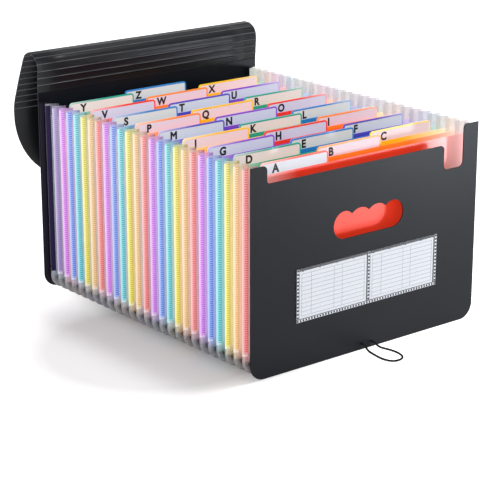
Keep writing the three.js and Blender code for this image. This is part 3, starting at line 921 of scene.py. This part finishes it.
HINGE_Y = (BACK_FACE + BACK_INSIDE) / 2
HINGE_HEIGHT = 0.2425
CREASE_SPACING = 0.00835
CREASE_HEADINGS = [
    94, 94, 94, 93, 74, 36, 14, -10, -52, -66, -66, -66, -66, -68, -68, -68, -74, -86,
]
PLAIN_HEADING = -88.5
PLAIN_LENGTH = 0.1
FLAP_CORNER = 0.094
FLAP_HALF = (BACK_FACE - BACK_INSIDE) / 2
RIB_HALF = 0.0008
OUTER_RIB = 0.00065
INNER_RIB = 0.0005
RIB_STEPS = (0.0, 0.0002, 0.0004, 0.0006, 0.0008)
BETWEEN_RIBS = (0.3, 0.5, 0.7)
CORNER_ROWS = 18
FLAP_COLUMNS = 8


def heading_vector(heading):
    """The direction in Y and Z of a heading in degrees, 0 toward the back and 90 upward."""
    return Vector((math.cos(math.radians(heading)), math.sin(math.radians(heading))))


def flap_rows():
    """Rows from the hinge on: place in Y and Z, heading, share of a rib, and half width."""
    near = list(RIB_STEPS)
    steps = near + [CREASE_SPACING * share for share in BETWEEN_RIBS]
    steps += [CREASE_SPACING - step for step in reversed(near[1:])]
    spot = Vector((HINGE_Y, HINGE_HEIGHT))
    rows = []
    for crease in range(len(CREASE_HEADINGS) - 1):
        first, last = CREASE_HEADINGS[crease], CREASE_HEADINGS[crease + 1]
        stops = steps + [CREASE_SPACING]
        for here, after in zip(stops, stops[1:]):
            heading = first + (last - first) * here / CREASE_SPACING
            from_crease = min(here if crease else RIB_HALF, CREASE_SPACING - here)
            rib = max(0.0, 1 - from_crease / RIB_HALF)
            rows.append((spot.copy(), heading, rib, HALF_WIDTH))
            middle = first + (last - first) * (here + after) / 2 / CREASE_SPACING
            spot = spot + heading_vector(middle) * (after - here)
    direction = heading_vector(PLAIN_HEADING)
    for step in near:
        rows.append((spot + direction * step, PLAIN_HEADING, 1 - step / RIB_HALF, HALF_WIDTH))
    for i in range(CORNER_ROWS + 1):
        angle = math.pi / 2 * i / CORNER_ROWS
        along = PLAIN_LENGTH - FLAP_CORNER * (1 - math.sin(angle))
        half_width = HALF_WIDTH - FLAP_CORNER * (1 - math.cos(angle))
        rows.append((spot + direction * along, PLAIN_HEADING, 0.0, half_width))
    return rows


def make_flap():
    rows = flap_rows()
    vertices, faces, wear = [], [], []
    for side, rib_height in ((1, OUTER_RIB), (-1, INNER_RIB)):
        for spot, heading, rib, half_width in rows:
            normal = heading_vector(heading + 90)
            rise = FLAP_HALF + rib_height * (1 - math.cos(math.pi * rib)) / 2
            place = spot + normal * side * rise
            for column in range(FLAP_COLUMNS + 1):
                x = half_width * (2 * column / FLAP_COLUMNS - 1)
                vertices.append((x, place.x, place.y))
                wear.append((rib, 0.0))
    across = FLAP_COLUMNS + 1
    layer = len(rows) * across
    for row in range(len(rows) - 1):
        for column in range(FLAP_COLUMNS):
            a = row * across + column
            faces.append((a, a + 1, a + across + 1, a + across))
            b = layer + a
            faces.append((b, b + across, b + across + 1, b + 1))
    smooth_faces = len(faces)
    for row in range(len(rows) - 1):
        for column, flipped in ((0, False), (FLAP_COLUMNS, True)):
            a = row * across + column
            rim = (a, layer + a, layer + a + across, a + across)
            faces.append(rim if flipped else tuple(reversed(rim)))
    for column in range(FLAP_COLUMNS):
        faces.append((layer + column, layer + column + 1, column + 1, column))
        a = (len(rows) - 1) * across + column
        faces.append((a + 1, layer + a + 1, layer + a, a))
    flap = new_piece("ribbed_flap", vertices, faces, flap_plastic, "flap")
    for polygon in flap.data.polygons:
        polygon.use_smooth = polygon.index < smooth_faces
    # Each vertex's rib share masks the painted highlight along the rib tops.
    carry(flap, "wear", wear)
    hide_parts("cover_flap")


make_flap()

# Living hinge: the rounded web that carries the flap along the top of the back cover

WEB_RADIUS = 0.00085
WEB_DROP = 0.0004
WEB_SIDES = 12


def make_hinge_web():
    vertices = []
    for x in (-HALF_WIDTH, HALF_WIDTH):
        for i in range(WEB_SIDES):
            angle = 2 * math.pi * i / WEB_SIDES
            y = HINGE_Y + WEB_RADIUS * math.cos(angle)
            z = HINGE_HEIGHT - WEB_DROP + WEB_RADIUS * math.sin(angle)
            vertices.append((x, y, z))
    faces = prism_faces(WEB_SIDES)
    web = new_piece("hinge_web", vertices, faces, cover_plastic, "rear")
    for polygon in web.data.polygons:
        polygon.use_smooth = len(polygon.vertices) == 4


make_hinge_web()

# Finishes of the parts that keep the frame's shape


def refinish(name, finish):
    mesh = nodes[name].data
    mesh.materials.clear()
    mesh.materials.append(finish)


refinish("front_cover", cover_plastic)
refinish("back_cover", cover_plastic)
refinish("label_pocket", pocket_film)
refinish("label_card_left", card_white)
refinish("label_card_right", card_white)
refinish("flap_button", button_plastic)
for metal_name in ("button_rivet", "loop_barb_left", "loop_barb_right"):
    refinish(metal_name, metal.material)
for sheet_index, sheet_letter in enumerate(LETTERS):
    sheet_finish = divider_finishes[sheet_index % len(divider_finishes)]
    refinish(f"divider_{sheet_letter.lower()}", sheet_finish)

# Floor, world and lamps

BACKGROUND_RAYS = ("Is Camera Ray", "Is Glossy Ray", "Is Transmission Ray")


def background_share(tree):
    """1 for rays that reach a background straight, in a reflection or through clear material."""
    path = tree.nodes.new("ShaderNodeLightPath")
    total = path.outputs[BACKGROUND_RAYS[0]]
    for name in BACKGROUND_RAYS[1:]:
        higher = tree.nodes.new("ShaderNodeMath")
        higher.operation = "MAXIMUM"
        tree.links.new(total, higher.inputs[0])
        tree.links.new(path.outputs[name], higher.inputs[1])
        total = higher.outputs["Value"]
    return total


SHADOW_CENTRE = (-0.18, -0.08, -0.0005)
FLOOR_NEAR = 0.12
FLOOR_FAR = 0.26
FLOOR_LIFT = 0.02
FLOOR_HALF = 6.0
FLOOR_ALBEDO = 0.85
WORLD_LIGHT = 0.48
WORLD_SEEN = 1.0
NEUTRAL = (1.0, 1.0, 1.0)
COOL = (0.86, 0.93, 1.0)

# Name, place, target, size in metres, power in watts and colour
LAMPS = [
    ("overhead", (0.36, -0.3, 1.7), (0, 0, 0.1), 0.3, 13, NEUTRAL),
    ("left_fill", (-1.9, -0.6, 0.55), (0, 0, 0.12), 1.2, 23, NEUTRAL),
    ("low_sheen", (0.885, -1.12, 0.06), (0.165, -0.23, 0.25), 0.15, 8, COOL),
]


def make_floor():
    """Pale floor that turns white further out, so that it shows only as the object's shadow."""
    half = FLOOR_HALF
    corners = [(-half, -half, 0), (half, -half, 0), (half, half, 0), (-half, half, 0)]
    mesh = bpy.data.meshes.new("floor")
    mesh.from_pydata(corners, [], [(0, 1, 2, 3)])
    finish = Finish(
        "floor_white", grey(FLOOR_ALBEDO), roughness=0.9, Specular_IOR_Level=0.1,
    )
    distance = finish.node("ShaderNodeVectorMath", operation="LENGTH")
    finish.link(finish.place(), distance.inputs[0])
    reach = finish.spread(distance.outputs["Value"], FLOOR_NEAR, FLOOR_FAR, FLOOR_LIFT, 1.0)
    finish.shader.inputs["Emission Color"].default_value = WHITE
    glow = finish.math("MULTIPLY", reach, background_share(finish.tree))
    finish.link(glow, finish.shader.inputs["Emission Strength"])
    mesh.materials.append(finish.material)
    floor = bpy.data.objects.new("floor", mesh)
    floor.location = SHADOW_CENTRE
    bpy.context.scene.collection.objects.link(floor)


def make_world():
    """White world that lights the object more softly than it looks to the camera."""
    world = bpy.data.worlds.new("studio")
    world.use_nodes = True
    tree = world.node_tree
    lighting = tree.nodes["Background"]
    seen = tree.nodes.new("ShaderNodeBackground")
    for background, strength in ((lighting, WORLD_LIGHT), (seen, WORLD_SEEN)):
        background.inputs["Color"].default_value = WHITE
        background.inputs["Strength"].default_value = strength
    mix = tree.nodes.new("ShaderNodeMixShader")
    tree.links.new(background_share(tree), mix.inputs["Fac"])
    tree.links.new(lighting.outputs["Background"], mix.inputs[1])
    tree.links.new(seen.outputs["Background"], mix.inputs[2])
    tree.links.new(mix.outputs["Shader"], tree.nodes["World Output"].inputs["Surface"])
    bpy.context.scene.world = world


def make_lamp(name, place, target, size, power, colour):
    data = bpy.data.lights.new(name, "AREA")
    data.size = size
    data.energy = power
    data.color = colour
    lamp = bpy.data.objects.new(name, data)
    lamp.location = place
    direction = Vector(target) - Vector(place)
    lamp.rotation_mode = "QUATERNION"
    lamp.rotation_quaternion = direction.to_track_quat("-Z", "Y")
    bpy.context.scene.collection.objects.link(lamp)


make_floor()
make_world()
for lamp_settings in LAMPS:
    make_lamp(*lamp_settings)

bpy.context.scene.view_settings.view_transform = "Standard"
